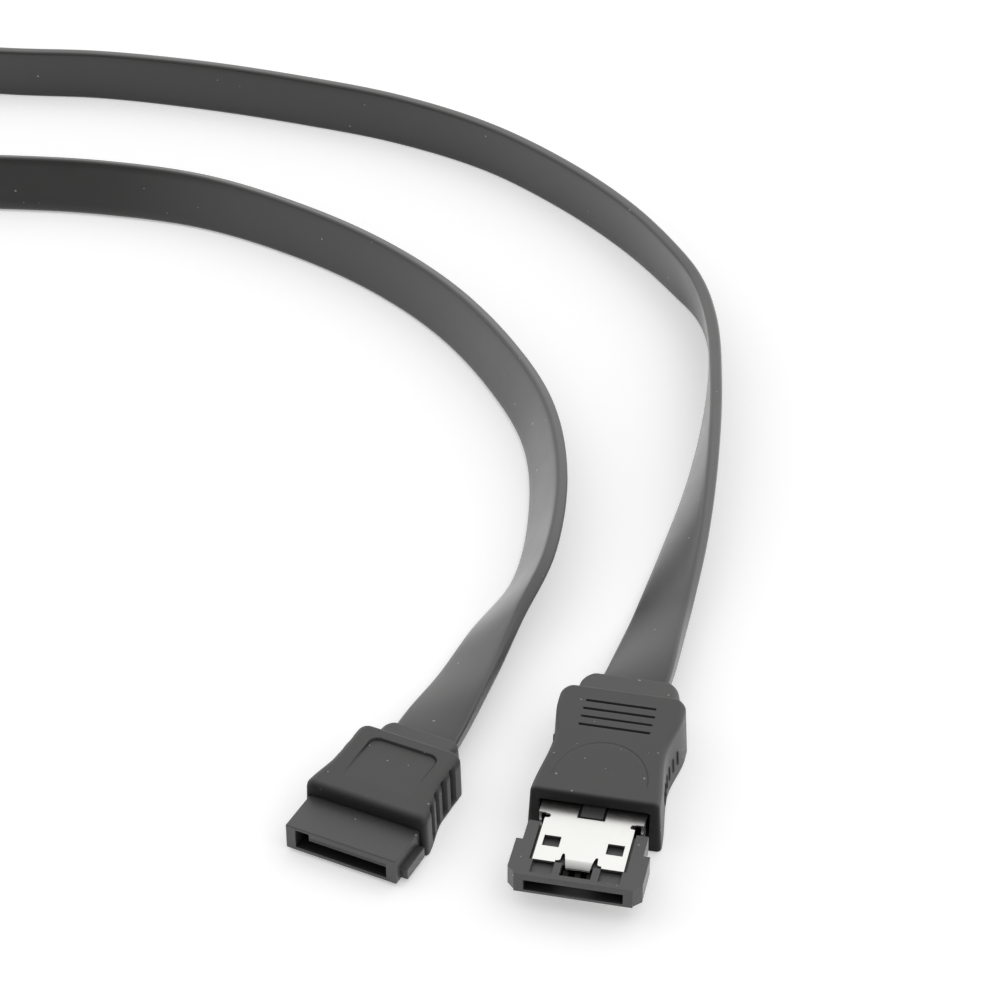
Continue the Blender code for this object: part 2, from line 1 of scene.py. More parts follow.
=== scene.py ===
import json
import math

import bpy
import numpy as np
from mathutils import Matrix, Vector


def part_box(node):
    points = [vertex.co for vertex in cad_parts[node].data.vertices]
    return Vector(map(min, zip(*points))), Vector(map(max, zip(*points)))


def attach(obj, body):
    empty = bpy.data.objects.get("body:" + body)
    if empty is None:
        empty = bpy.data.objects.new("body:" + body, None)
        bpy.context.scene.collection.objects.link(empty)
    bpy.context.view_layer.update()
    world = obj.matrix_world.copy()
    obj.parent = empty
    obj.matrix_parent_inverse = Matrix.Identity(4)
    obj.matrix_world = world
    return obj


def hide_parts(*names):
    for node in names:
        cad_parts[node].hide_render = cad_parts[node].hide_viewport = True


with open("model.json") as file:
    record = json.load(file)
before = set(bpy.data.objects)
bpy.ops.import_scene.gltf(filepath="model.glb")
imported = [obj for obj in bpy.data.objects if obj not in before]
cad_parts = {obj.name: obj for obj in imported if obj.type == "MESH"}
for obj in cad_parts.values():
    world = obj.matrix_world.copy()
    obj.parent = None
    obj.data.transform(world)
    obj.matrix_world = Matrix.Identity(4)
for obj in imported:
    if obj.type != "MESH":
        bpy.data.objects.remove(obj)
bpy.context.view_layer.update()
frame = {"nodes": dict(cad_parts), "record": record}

# %% [markdown]
# A flat drive cable lies in a loop on a pale table, one plug at each end. This lesson dresses
# its plain solids: first the camera and the light, then the finishes, then the cord and the
# two moulded boots as surfaces worked out with numpy. Everything is in metres, and sizes are
# written as so many millimetres.

MM = 0.001
mounts = {mount["name"]: mount for mount in frame["record"]["mounts"]}

nose_low, nose_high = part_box("esata_housing")
A_MOUTH = np.array([(nose_low.x + nose_high.x) / 2, nose_low.y, 0.0])
B_FACE_OFFSET = 6.05 * MM       # from the middle of the keyed mouth to its mount
b_mount = mounts["sata_mating_face"]
B_TURN = math.atan2(b_mount["axis"][0], -b_mount["axis"][1])
B_MOUTH = np.array([b_mount["pos_m"][0] - B_FACE_OFFSET * math.cos(B_TURN),
                    b_mount["pos_m"][1] - B_FACE_OFFSET * math.sin(B_TURN), 0.0])


def place(points, mouth, turn):
    """Turn points about Z and move them from a plug's own frame to the mouth's place."""
    c, s = math.cos(turn), math.sin(turn)
    spin = np.array([[c, s, 0.0], [-s, c, 0.0], [0.0, 0.0, 1.0]])
    return points @ spin + mouth


print("mouths at", A_MOUTH / MM, B_MOUTH / MM, "keyed plug turned", math.degrees(B_TURN))

# %% [markdown]
# The camera stands where the photograph was taken: a little to the right, about 36 degrees
# above the table, with a long lens. Its place was worked out from the known sizes of both
# plugs, so the plugs, the cord and the table line up with the picture.

# %% Camera
scene = bpy.context.scene
camera = bpy.data.objects.new("camera", bpy.data.cameras.new("camera"))
scene.collection.objects.link(camera)
CAMERA_FROM_MOUTH = np.array([41.408, -224.817, 218.195]) * MM
LOOK_DOWN, LOOK_LEFT = math.radians(35.753), math.radians(12.323)
camera.location = A_MOUTH + CAMERA_FROM_MOUTH
camera.rotation_euler = (math.pi / 2 - LOOK_DOWN, 0.0, LOOK_LEFT)
camera.data.sensor_width = 36.0
camera.data.lens = 108.04
camera.data.clip_start = 0.01
scene.camera = camera
scene.view_settings.view_transform = "Standard"

# %% [markdown]
# Product pictures like this one are taken on a white sweep under large soft lamps. The table
# here is a matt white plane. To the camera it also glows a little, so that it comes out white
# without putting more light on the object, while what the object shades still shows as a faint
# grey. In reflections the table and the room behind are brighter than the light that falls on
# the object, because the glossy pieces mirror an overexposed sweep.


# %% Helpers for node trees
def new_material(name):
    """An empty material with its output node."""
    mat = bpy.data.materials.new(name)
    mat.use_nodes = True
    mat.node_tree.nodes.clear()
    return mat, mat.node_tree.nodes.new("ShaderNodeOutputMaterial")


def node(tree, kind, **inputs):
    """Add a node; a name with a value sets that socket, and a socket makes a link."""
    made = tree.nodes.new("ShaderNode" + kind)
    for label, value in inputs.items():
        wire(tree, made, label.replace("_", " "), value)
    return made


def wire(tree, target, label, value):
    """Set or link one input, found by its label or its number."""
    socket = target.inputs[int(label[1:])] if label.startswith("#") else target.inputs[label]
    if isinstance(value, bpy.types.NodeSocket):
        tree.links.new(value, socket)
    else:
        socket.default_value = value


def math_node(tree, operation, a, b=0.0, clamp=False):
    """Arithmetic on one or two values."""
    made = tree.nodes.new("ShaderNodeMath")
    made.operation = operation
    made.use_clamp = clamp
    wire(tree, made, "#0", a)
    wire(tree, made, "#1", b)
    return made.outputs[0]


# %% Table
TABLE_HALF = 3.0
TABLE_ALBEDO = 0.8
TABLE_GLOW = 0.34               # added for the camera
MIRRORED_ALBEDO = 2.3           # the overexposed table as the glossy pieces mirror it
table_mesh = bpy.data.meshes.new("table")
corners = np.array([[-1, -1], [1, -1], [1, 1], [-1, 1]]) * TABLE_HALF
table_mesh.from_pydata(np.c_[corners, np.zeros(4)].tolist(), [], [[0, 1, 2, 3]])
table = bpy.data.objects.new("table", table_mesh)
scene.collection.objects.link(table)

table_finish, out = new_material("matt_white_table")
tree = table_finish.node_tree
rays = node(tree, "LightPath")
white = math_node(tree, "ADD", math_node(tree, "MULTIPLY", rays.outputs["Is Glossy Ray"],
                                         MIRRORED_ALBEDO - TABLE_ALBEDO), TABLE_ALBEDO)
matt = node(tree, "BsdfDiffuse", Color=white)
glow = node(tree, "Emission", Color=(1.0, 1.0, 1.0, 1.0),
            Strength=math_node(tree, "MULTIPLY", rays.outputs["Is Camera Ray"], TABLE_GLOW))
both = tree.nodes.new("ShaderNodeAddShader")
tree.links.new(matt.outputs[0], both.inputs[0])
tree.links.new(glow.outputs[0], both.inputs[1])
tree.links.new(both.outputs[0], out.inputs["Surface"])
table_mesh.materials.append(table_finish)

# %% Room light and lamps
ROOM_LIGHT = (0.6, 0.65)        # on the object: from the camera's side, from behind
ROOM_MIRRORED = (0.4, 2.1)      # the same in reflections
ROOM_SEEN = 1.0                 # to the camera
ROOM_FADE = 0.7                 # the level changes where the direction's Y is within this
world = bpy.data.worlds.new("white_room")
scene.world = world
world.use_nodes = True
tree = world.node_tree
tree.nodes.clear()
out = tree.nodes.new("ShaderNodeOutputWorld")
rays = node(tree, "LightPath")
towards = node(tree, "SeparateXYZ",
               Vector=tree.nodes.new("ShaderNodeTexCoord").outputs["Generated"]).outputs[1]
lit, mirrored = (node(tree, "MapRange", Value=towards, From_Min=-ROOM_FADE, From_Max=ROOM_FADE,
                      To_Min=front, To_Max=back).outputs[0]
                 for front, back in (ROOM_LIGHT, ROOM_MIRRORED))
camera_ray, glossy_ray = rays.outputs["Is Camera Ray"], rays.outputs["Is Glossy Ray"]
plain_ray = math_node(tree, "SUBTRACT", 1.0, math_node(tree, "MAXIMUM", camera_ray, glossy_ray))
level = math_node(tree, "ADD", math_node(tree, "MULTIPLY", camera_ray, ROOM_SEEN),
                  math_node(tree, "ADD", math_node(tree, "MULTIPLY", glossy_ray, mirrored),
                            math_node(tree, "MULTIPLY", plain_ray, lit)))
room = node(tree, "Background", Color=(1.0, 1.0, 1.0, 1.0), Strength=level)
tree.links.new(room.outputs[0], out.inputs["Surface"])


def soft_lamp(name, place_at, aim_at, size, watts):
    """A square area lamp that looks at a point."""
    lamp = bpy.data.objects.new(name, bpy.data.lights.new(name, "AREA"))
    lamp.data.size = size
    lamp.data.energy = watts
    lamp.location = place_at
    lamp.rotation_euler = (Vector(aim_at) - Vector(place_at)).to_track_quat("-Z", "Y").to_euler()
    scene.collection.objects.link(lamp)


AIM = (0.0, 0.03, 0.0)
soft_lamp("lamp_left", (-0.6, 0.1, 0.65), AIM, 1.0, 1.1)
soft_lamp("lamp_behind_right", (0.45, 0.5, 0.75), AIM, 0.9, 1.3)
soft_lamp("lamp_front_right", (0.4, -0.4, 0.7), AIM, 0.9, 1.6)
print("lamps and table set")

# %% [markdown]
# Three effects come back in several finishes, so each is a node group with named sockets:
# the fine grain of moulded plastic, the few specks of dust that settle on anything black,
# and slow cloudy variation from handling. The half-ellipse line on the shielded plug's boot
# is a fourth group. A group only puts out values; the shader that uses them stays in the
# material.


# %% Node groups
def new_group(name, inputs, outputs):
    """A shader node group with float inputs (name, default) and named outputs."""
    group = bpy.data.node_groups.new(name, "ShaderNodeTree")
    for label, default in inputs:
        socket = group.interface.new_socket(label, in_out="INPUT", socket_type="NodeSocketFloat")
        socket.default_value = default
    for label in outputs:
        group.interface.new_socket(label, in_out="OUTPUT", socket_type="NodeSocketFloat")
    return group, group.nodes.new("NodeGroupInput"), group.nodes.new("NodeGroupOutput")


def object_points(tree):
    """Object coordinates, in metres."""
    return tree.nodes.new("ShaderNodeTexCoord").outputs["Object"]


FINE_SHARE = 0.6                # of the grain's height, the rest is coarse
grain_group, given, result = new_group(
    "moulded_grain", [("Fine", 9000.0), ("Coarse", 1500.0)], ["Height"])
points = object_points(grain_group)
fine = node(grain_group, "TexNoise", Vector=points, Scale=given.outputs["Fine"], Detail=2.0)
coarse = node(grain_group, "TexNoise", Vector=points, Scale=given.outputs["Coarse"], Detail=1.0)
grain_group.links.new(
    math_node(grain_group, "ADD",
              math_node(grain_group, "MULTIPLY", fine.outputs["Fac"], FINE_SHARE),
              math_node(grain_group, "MULTIPLY", coarse.outputs["Fac"], 1.0 - FINE_SHARE)),
    result.inputs["Height"])

SPECK_EDGE = 6000.0             # noise that makes a speck's outline ragged
SPECK_REACH = 2.4               # the largest speck, in sizes
dust_group, given, result = new_group(
    "dust_specks", [("Cells", 850.0), ("Size", 0.11), ("Share", 0.16)], ["Mask"])
points = object_points(dust_group)
wobble = node(dust_group, "TexNoise", Vector=points, Scale=SPECK_EDGE, Detail=2.0)
cells = node(dust_group, "TexVoronoi", Vector=points, Scale=given.outputs["Cells"])
lots = node(dust_group, "SeparateColor", Color=cells.outputs["Color"])
chosen = math_node(dust_group, "LESS_THAN", lots.outputs[0], given.outputs["Share"])
ragged = math_node(dust_group, "MULTIPLY", wobble.outputs["Fac"], lots.outputs[1])
reach = math_node(dust_group, "MULTIPLY", math_node(dust_group, "MULTIPLY", ragged, SPECK_REACH),
                  given.outputs["Size"])
near = math_node(dust_group, "LESS_THAN", cells.outputs["Distance"], reach)
dust_group.links.new(math_node(dust_group, "MULTIPLY", chosen, near), result.inputs["Mask"])

LINE_START = 0.3                # mm behind the ellipse's centre where the line begins
LINE_FAINT = 0.3                # how much of the line is left at its faint left end
line_group, given, result = new_group(
    "half_ellipse_line",
    [("Centre", 14.0), ("Across", 5.2), ("Along", 6.5), ("Width", 0.16), ("Height", 6.6)], ["Mask"])
spot = line_group.nodes.new("ShaderNodeAttribute")
spot.attribute_name = "local"
axis = node(line_group, "SeparateXYZ", Vector=spot.outputs["Vector"])
past_centre = math_node(line_group, "SUBTRACT", axis.outputs[1], given.outputs["Centre"])
across = math_node(line_group, "DIVIDE", axis.outputs[0], given.outputs["Across"])
along = math_node(line_group, "DIVIDE", past_centre, given.outputs["Along"])
ratio = math_node(line_group, "SQRT", math_node(
    line_group, "ADD", math_node(line_group, "MULTIPLY", across, across),
    math_node(line_group, "MULTIPLY", along, along)))
off = math_node(line_group, "ABSOLUTE", math_node(
    line_group, "MULTIPLY", math_node(line_group, "SUBTRACT", ratio, 1.0),
    given.outputs["Across"]))
drawn = math_node(line_group, "SUBTRACT", 1.0,
                  math_node(line_group, "DIVIDE", off, given.outputs["Width"]), clamp=True)
behind = math_node(line_group, "GREATER_THAN", past_centre, LINE_START)
on_top = math_node(line_group, "GREATER_THAN", axis.outputs[2], given.outputs["Height"])
fade_to_left = node(line_group, "MapRange", Value=across, From_Min=-1.0, To_Min=LINE_FAINT, To_Max=1.0)
line_group.links.new(
    math_node(line_group, "MULTIPLY", math_node(line_group, "MULTIPLY", drawn, fade_to_left.outputs[0]),
              math_node(line_group, "MULTIPLY", behind, on_top)), result.inputs["Mask"])

cloud_group, given, result = new_group("handling_clouds", [("Scale", 160.0)], ["Value"])
clouds = node(cloud_group, "TexNoise", Vector=object_points(cloud_group),
              Scale=given.outputs["Scale"], Detail=3.0, Roughness=0.6)
cloud_group.links.new(clouds.outputs["Fac"], result.inputs["Value"])


def use_group(tree, group, **inputs):
    """Place a node group in a material with its own values."""
    made = tree.nodes.new("ShaderNodeGroup")
    made.node_tree = group
    for label, value in inputs.items():
        made.inputs[label].default_value = value
    return made


print("groups:", [group.name for group in bpy.data.node_groups])

# %% [markdown]
# The boots are soft moulded rubber, the noses hard plastic and the jacket smooth vinyl. All
# three are nearly black and differ in gloss and grain, so one function makes them with their
# own values. The colour drifts a little between a dark and a light tone, and the roughness
# follows the same clouds. Pale dust specks lie over that. What is pressed into a boot, its front
# and the inside of its mouth and cord hole, and the inside of a slot get painted shade in their
# colour, and they are rougher, as no handling gets there.


# %% Black plastics
def mixed_colour(tree, share, first, second):
    """Blend of two colours, each a tuple or a socket."""
    made = tree.nodes.new("ShaderNodeMix")
    made.data_type = "RGBA"
    for label, value in (("#0", share), ("#6", first), ("#7", second)):
        wire(tree, made, label, (*value, 1.0) if isinstance(value, tuple) else value)
    return made.outputs[2]


# painted shade: the colour laid where shade falls in recesses, slots and a boot's front
PAINTED_SHADE_TONE = (0.004, 0.004, 0.004)
RECESS_ROUGHER = 0.3            # added to the roughness where the painted shade lies
DUST_TONE = (0.42, 0.42, 0.41)
DUST_STRENGTH = 0.5
# painted highlight: the paler tone of the cord's thin sides
PAINTED_EDGE_LIGHT = (0.036, 0.035, 0.034)
LINE_SUNK = 5.0                 # depth of the half-ellipse line, in heights of the grain
SLOT_FROM, SLOT_TO = -0.5, 0.4  # mm from the mouth over which the painted shade in a slot grows to full
SLOT_SKIN = 0.03                # mm round a slot that counts as its wall


def slot_shade_mask(tree, mouth, turn, half, low, high):
    """Mask of painted shade on a slot's walls: part of it at the mouth and all of it a little way
    in; sizes in mm.

    The mapping turns object coordinates into the plug's own frame.
    """
    inside = node(tree, "Mapping", Vector=object_points(tree), Location=tuple(mouth),
                  Rotation=(0.0, 0.0, turn), Scale=(MM, MM, MM))
    inside.vector_type = "TEXTURE"
    axis = node(tree, "SeparateXYZ", Vector=inside.outputs[0])
    mask = node(tree, "MapRange", Value=axis.outputs[1],
                From_Min=SLOT_FROM, From_Max=SLOT_TO).outputs[0]
    wide = math_node(tree, "ABSOLUTE", axis.outputs[0])
    for operation, value, limit in (("LESS_THAN", wide, half + SLOT_SKIN),
                                    ("GREATER_THAN", axis.outputs[2], low - SLOT_SKIN),
                                    ("LESS_THAN", axis.outputs[2], high + SLOT_SKIN)):
        mask = math_node(tree, "MULTIPLY", mask, math_node(tree, operation, value, limit))
    return mask


def black_plastic(name, dark, light, rough, grain, grain_depth, dust_share, gloss,
                  moulded=False, lined=False, lit_edges=False, slot=None):
    """Near-black plastic: cloudy tone and roughness, moulded grain as bump, dust specks.

    gloss is the shader's specular level. A moulded piece gets painted shade in its colour and
    more roughness where its mesh marks it: in its recesses, over its front, in its mouth and its
    cord hole. A lined one carries the half-ellipse line on its top, darkened with painted shade.
    The cord's thin sides can get a painted highlight, a paler tone, and a slot gets painted shade
    inside.
    """
    mat, out = new_material(name)
    tree = mat.node_tree
    clouds = use_group(tree, cloud_group, Scale=170.0).outputs["Value"]
    specks = use_group(tree, dust_group, Share=dust_share).outputs["Mask"]
    height = use_group(tree, grain_group, Fine=grain).outputs["Height"]
    tone = mixed_colour(tree, clouds, dark, light)
    if lit_edges:
        # painted highlight along the thin sides, marked in the mesh
        side = tree.nodes.new("ShaderNodeAttribute")
        side.attribute_name = "edge"
        tone = mixed_colour(tree, side.outputs["Fac"], tone, PAINTED_EDGE_LIGHT)
    roughness = node(tree, "MapRange", Value=clouds, To_Min=rough[0], To_Max=rough[1]).outputs[0]
    if lined:
        line = use_group(tree, line_group).outputs["Mask"]
        # painted shade in the half-ellipse line's groove
        tone = mixed_colour(tree, line, tone, PAINTED_SHADE_TONE)
        height = math_node(tree, "SUBTRACT", height, math_node(tree, "MULTIPLY", line, LINE_SUNK))
    tone = mixed_colour(tree, math_node(tree, "MULTIPLY", specks, DUST_STRENGTH), tone, DUST_TONE)
    # painted shade on the walls inside a slot
    deep = slot_shade_mask(tree, *slot) if slot else None
    if moulded:
        # painted shade kept with the boot's mesh
        painted_shade = tree.nodes.new("ShaderNodeAttribute")
        painted_shade.attribute_name = "painted_shade"
        deep = painted_shade.outputs["Fac"]
    # painted shade mixed into the colour, with more roughness
    if deep:
        tone = mixed_colour(tree, deep, tone, PAINTED_SHADE_TONE)
        roughness = math_node(tree, "ADD", roughness,
                              math_node(tree, "MULTIPLY", deep, RECESS_ROUGHER), clamp=True)
    bump = node(tree, "Bump", Strength=1.0, Distance=grain_depth, Height=height)
    skin = node(tree, "BsdfPrincipled", Base_Color=tone, Roughness=roughness,
                Specular_IOR_Level=gloss, Normal=bump.outputs[0])
    tree.links.new(skin.outputs[0], out.inputs["Surface"])
    return mat


# Dark tone, light tone, roughness, scale and depth of the grain, share of cells with dust
RUBBER = ((0.034, 0.034, 0.0335), (0.050, 0.050, 0.049), (0.52, 0.62), 9000.0, 0.000012, 0.7)
boot_rubber = black_plastic("boot_rubber", *RUBBER, gloss=0.3, moulded=True)
lined_rubber = black_plastic("boot_rubber_lined", *RUBBER, gloss=0.3, moulded=True, lined=True)
PLASTIC = ((0.034, 0.033, 0.033), (0.044, 0.043, 0.043), (0.42, 0.5), 12000.0, 0.000006, 0.4)
A_SLOT, B_SLOT = (5.25, 3.0, 4.3), (5.45, 0.95, 2.85)       # half width, floor and roof in mm
shielded_plastic = black_plastic("nose_plastic_shielded", *PLASTIC, gloss=0.4,
                                 slot=(A_MOUTH, 0.0, *A_SLOT))
keyed_plastic = black_plastic("nose_plastic_keyed", *PLASTIC, gloss=0.4,
                              slot=(B_MOUTH, B_TURN, *B_SLOT))
jacket_vinyl = black_plastic("jacket_vinyl", (0.011, 0.0105, 0.010), (0.016, 0.0155, 0.015),
                             (0.3, 0.4), 5000.0, 0.000005, 0.12, gloss=0.42, lit_edges=True)

# %% [markdown]
# The shields are bright stamped steel. Rolling leaves fine lines along the strip, which
# stretched noise gives as a very shallow bump and a change in roughness. The contacts are
# gold flashed springs with a duller tip where they rub, and painted shade darkens the tips,
# which lie deep in the slot.


# %% Metals
BLOT_SHADE = 0.94               # tone of the dark blots, as a share of the metal's colour
# painted shade: the colour of the contact tips inside the slot
TIP_PAINTED_SHADE = (0.03, 0.028, 0.024)
TIP_END, TIP_FADE = 3.5, 1.0    # mm behind the shielded mouth: painted shade and wear up to here, then fading
TIP_ROUGHER = 0.3


def sheet_metal(name, colour, rough, line_depth, stretch, tips=False):
    """Rolled metal: noise stretched along one axis drives roughness and a shallow bump.

    With tips the front of the piece is duller from wear and darkened with painted shade.
    """
    mat, out = new_material(name)
    tree = mat.node_tree
    spread = node(tree, "Mapping", Vector=object_points(tree), Scale=stretch)
    lines = node(tree, "TexNoise", Vector=spread.outputs[0], Scale=4000.0, Detail=3.0)
    blots = use_group(tree, cloud_group, Scale=300.0).outputs["Value"]
    mixed = math_node(tree, "MULTIPLY", lines.outputs["Fac"], blots)
    roughness = node(tree, "MapRange", Value=mixed, To_Min=rough[0], To_Max=rough[1]).outputs[0]
    bump = node(tree, "Bump", Strength=1.0, Distance=line_depth, Height=lines.outputs["Fac"])
    tint = mixed_colour(tree, blots, tuple(BLOT_SHADE * value for value in colour), colour)
    if tips:
        back = node(tree, "SeparateXYZ", Vector=object_points(tree)).outputs[1]
        tip_shade = node(tree, "MapRange", Value=back,
                    From_Min=A_MOUTH[1] + (TIP_END + TIP_FADE) * MM,
                    From_Max=A_MOUTH[1] + TIP_END * MM).outputs[0]
        # painted shade over the tips, and more roughness from wear
        tint = mixed_colour(tree, tip_shade, tint, TIP_PAINTED_SHADE)
        roughness = math_node(tree, "ADD", roughness,
                              math_node(tree, "MULTIPLY", tip_shade, TIP_ROUGHER))
    skin = node(tree, "BsdfPrincipled", Base_Color=tint, Metallic=1.0,
                Roughness=roughness, Normal=bump.outputs[0])
    tree.links.new(skin.outputs[0], out.inputs["Surface"])
    return mat


stamped_steel = sheet_metal("stamped_steel", (0.47, 0.468, 0.455), (0.26, 0.38), 0.0000003,
                            (1.0, 0.05, 1.0))
contact_gold = sheet_metal("contact_gold", (0.85, 0.62, 0.27), (0.2, 0.4), 0.0000006,
                           (1.0, 0.1, 1.0), tips=True)

# %% [markdown]
# The cord is one flat strip. Its section is a rectangle with small rounded corners, and its
# thin sides carry a painted highlight, a paler tone, so the thin top edge shows as a pale band
# beside the dark broad side. It leaves each plug lying flat and turns on edge as it bends,
# because a flat cord only bends over its thin way. The route is a smooth curve through points
# (x, y and the turn on edge), the same as the solid's.

# %% Cord route
CORD_W, CORD_T, CORD_CORNER = 7.7 * MM, 1.6 * MM, 0.42 * MM
A_CORD_Z, B_CORD_Z = 3.37 * MM, 2.7 * MM
LIFT = 18 * MM                  # stretch over which the cord comes down from each plug
OUT_RUN = [(0.0, 32.7, 0), (0.45, 36.5, 8), (0.7, 45.8, 25), (1.2, 61.6, 46),
           (1.0, 76.7, 67), (-0.1, 91.9, 83), (-2.2, 106.8, 97), (-5.55, 116.75, 101),
           (-10.2, 123.7, 96), (-18.85, 133.95, 92), (-30.2, 143.85, 91), (-43.15, 152.1, 92),
           (-57.85, 157.4, 90), (-73.5, 160.0, 89), (-89.3, 161.4, 89), (-105.1, 161.3, 92),
           (-120.8, 159.2, 94)]
BACK_RUN = [(-109.1, 127.0, 107), (-94.0, 128.65, 107), (-79.0, 127.9, 103),
            (-64.7, 123.5, 100), (-51.15, 116.75, 100), (-39.05, 107.6, 102),
            (-28.95, 96.2, 106), (-21.1, 83.55, 110), (-16.8, 69.3, 118),
            (-15.44, 53.6, 125), (-17.6, 42.2, 142), (-19.2, 31.4, 158),
            (-20.35, 24.4, 174), (-21.084, 19.85, 180)]
LOOP_X, LOOP_Y, LOOP_R = -141.3, 139.9, 19.0
turns = np.radians(90 + 30 * np.arange(7))
loop = np.stack([LOOP_X + LOOP_R * np.cos(turns), LOOP_Y + LOOP_R * np.sin(turns),
                 95.0 + 2.0 * np.arange(7)], axis=1)
knots = np.concatenate([OUT_RUN, loop, BACK_RUN]) * [MM, MM, 1.0]


def curve_through(points, fine=40):
    """Centripetal Catmull-Rom: between each pair of points, two blended parabolas.

    The knot spacing is the square root of the distance between neighbours.
    """
    ends = np.concatenate([[2 * points[0] - points[1]], points, [2 * points[-1] - points[-2]]])
    p0, p1, p2, p3 = (ends[i:len(ends) - 3 + i, None, :] for i in range(4))
    step = np.sqrt(np.hypot(*np.diff(ends[:, :2], axis=0).T))
    t1 = step[:-2, None, None]
    t2 = t1 + step[1:-1, None, None]
    t3 = t2 + step[2:, None, None]
    t = t1 + (t2 - t1) * (np.arange(fine) / fine)[None, :, None]
    ab = p0 + (p1 - p0) * t / t1
    bc = p1 + (p2 - p1) * (t - t1) / (t2 - t1)
    cd = p2 + (p3 - p2) * (t - t2) / (t3 - t2)
    abc = ab + (bc - ab) * t / t2
    bcd = bc + (cd - bc) * (t - t1) / (t3 - t1)
    curve = abc + (bcd - abc) * (t - t1) / (t2 - t1)
    return np.concatenate([curve.reshape(-1, points.shape[1]), points[-1:]])


def evenly(curve, count):
    """Points at equal distances along a closely sampled curve, and their distances."""
    run = np.concatenate([[0.0], np.cumsum(np.hypot(*np.diff(curve[:, :2], axis=0).T))])
    at = np.linspace(0.0, run[-1], count)
    return np.stack([np.interp(at, run, column) for column in curve.T], axis=1), at


def ease(t):
    """Smooth step from 0 to 1."""
    t = np.clip(t, 0.0, 1.0)
    return t * t * (3.0 - 2.0 * t)


CORD_RINGS = 640
route, at = evenly(curve_through(knots), CORD_RINGS)
cord_length = at[-1]
on_edge = np.radians(route[:, 2])
line = np.empty((CORD_RINGS, 3))
line[:, :2] = route[:, :2] + A_MOUTH[:2]
line[:, 2] = ((CORD_W / 2 - CORD_CORNER) * np.abs(np.sin(on_edge))
              + (CORD_T / 2 - CORD_CORNER) * np.abs(np.cos(on_edge)) + CORD_CORNER
              + (A_CORD_Z - CORD_T / 2) * ease(1 - at / LIFT)
              + (B_CORD_Z - CORD_T / 2) * ease(1 - (cord_length - at) / LIFT))
print("cord %.1f mm long" % (cord_length / MM))


# %% Surfaces from grids
def rounded_section(rows, top_at, bottom_at, side_at, corner_steps):
    """Closed rounded rectangle, as (x, z) for each ring, counter-clockwise from the right.

    rows holds for each ring its half width, low and high z, and the radius of the upper and
    of the lower corners. top_at and bottom_at hold places from -1 to 1 along the flats,
    side_at from 0 to 1 up a side. The corners are quarter circles.
    """
    half, low, high, radius, foot = (column[:, None] for column in np.asarray(rows).T)
    arc = np.linspace(0.0, math.pi / 2, corner_steps + 2)[None, 1:-1]
    up, across, under = (np.asarray(v)[None, :] for v in (side_at, top_at, bottom_at))
    right = (half + 0 * up, low + foot + (high - low - radius - foot) * up)
    top_right = (half - radius + radius * np.cos(arc), high - radius + radius * np.sin(arc))
    bottom_right = (half - foot + foot * np.sin(arc), low + foot - foot * np.cos(arc))
    pieces = [right, top_right, (-(half - radius) * across, high + 0 * across),
              (-top_right[0][:, ::-1], top_right[1][:, ::-1]),
              (-right[0][:, ::-1], right[1][:, ::-1]),
              (-bottom_right[0][:, ::-1], bottom_right[1][:, ::-1]),
              ((half - foot) * under, low + 0 * under), bottom_right]
    return (np.concatenate([piece[0] for piece in pieces], axis=1),
            np.concatenate([piece[1] for piece in pieces], axis=1))


def tube_mesh(name, rings, finish, sharp=180.0):
    """Quads between neighbouring rings, and one face over each end."""
    count, around = rings.shape[:2]
    i, j = np.meshgrid(np.arange(count - 1), np.arange(around), indexing="ij")
    k = (j + 1) % around
    quads = np.stack([i * around + j, (i + 1) * around + j, (i + 1) * around + k,
                      i * around + k], axis=-1).reshape(-1, 4)
    caps = [np.arange(around).tolist(), (np.arange(around)[::-1] + (count - 1) * around).tolist()]
    mesh = bpy.data.meshes.new(name)
    mesh.from_pydata(rings.reshape(-1, 3).tolist(), [], quads.tolist() + caps)
    mesh.shade_smooth()
    mesh.set_sharp_from_angle(angle=math.radians(sharp))
    mesh.materials.append(finish)
    piece = bpy.data.objects.new(name, mesh)
    scene.collection.objects.link(piece)
    return piece


# %% Cord
ahead = np.gradient(line, axis=0)
ahead /= np.linalg.norm(ahead, axis=1, keepdims=True)
left = np.stack([-ahead[:, 1], ahead[:, 0], np.zeros(CORD_RINGS)], axis=1)
left /= np.linalg.norm(left, axis=1, keepdims=True)
up = np.cross(ahead, left)
broad = left * np.cos(on_edge)[:, None] - up * np.sin(on_edge)[:, None]
thin = np.cross(broad, ahead)
cord_row = [CORD_W / 2, -CORD_T / 2, CORD_T / 2, CORD_CORNER, CORD_CORNER]
wide, deep = rounded_section([cord_row], np.linspace(-1, 1, 9), np.linspace(-1, 1, 9),
                             np.linspace(0, 1, 4), 4)
rings = line[:, None, :] + wide[..., None] * broad[:, None, :] + deep[..., None] * thin[:, None, :]
flat_cord = tube_mesh("flat_cord", rings, jacket_vinyl)
# painted highlight: the points on the thin sides, which the finish makes paler
painted_edge_highlight = np.tile(np.abs(wide[0]) > CORD_W / 2 - CORD_CORNER, CORD_RINGS)
flat_cord.data.attributes.new("edge", "FLOAT", "POINT").data.foreach_set(
    "value", painted_edge_highlight.astype(np.float32))
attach(flat_cord, "root")
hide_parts("cable")

# %% [markdown]
# Each boot is one skin, drawn as rings that run from the back wall of its mouth forward to
# the rim, round the front edge, along the outside, over the rear edge and the neck, and into
# the hole where the cord enters. Grooves, engraved lines and the sunk panel are then pressed
# into that skin, and ribs pushed out of it, by shifting its points where a mask in plug
# coordinates says so. The painted shade that darkens them, the front edge, the mouth and the
# cord hole is kept with the mesh for the finish, and so are the plug coordinates, in which the
# finish draws the half-ellipse line.

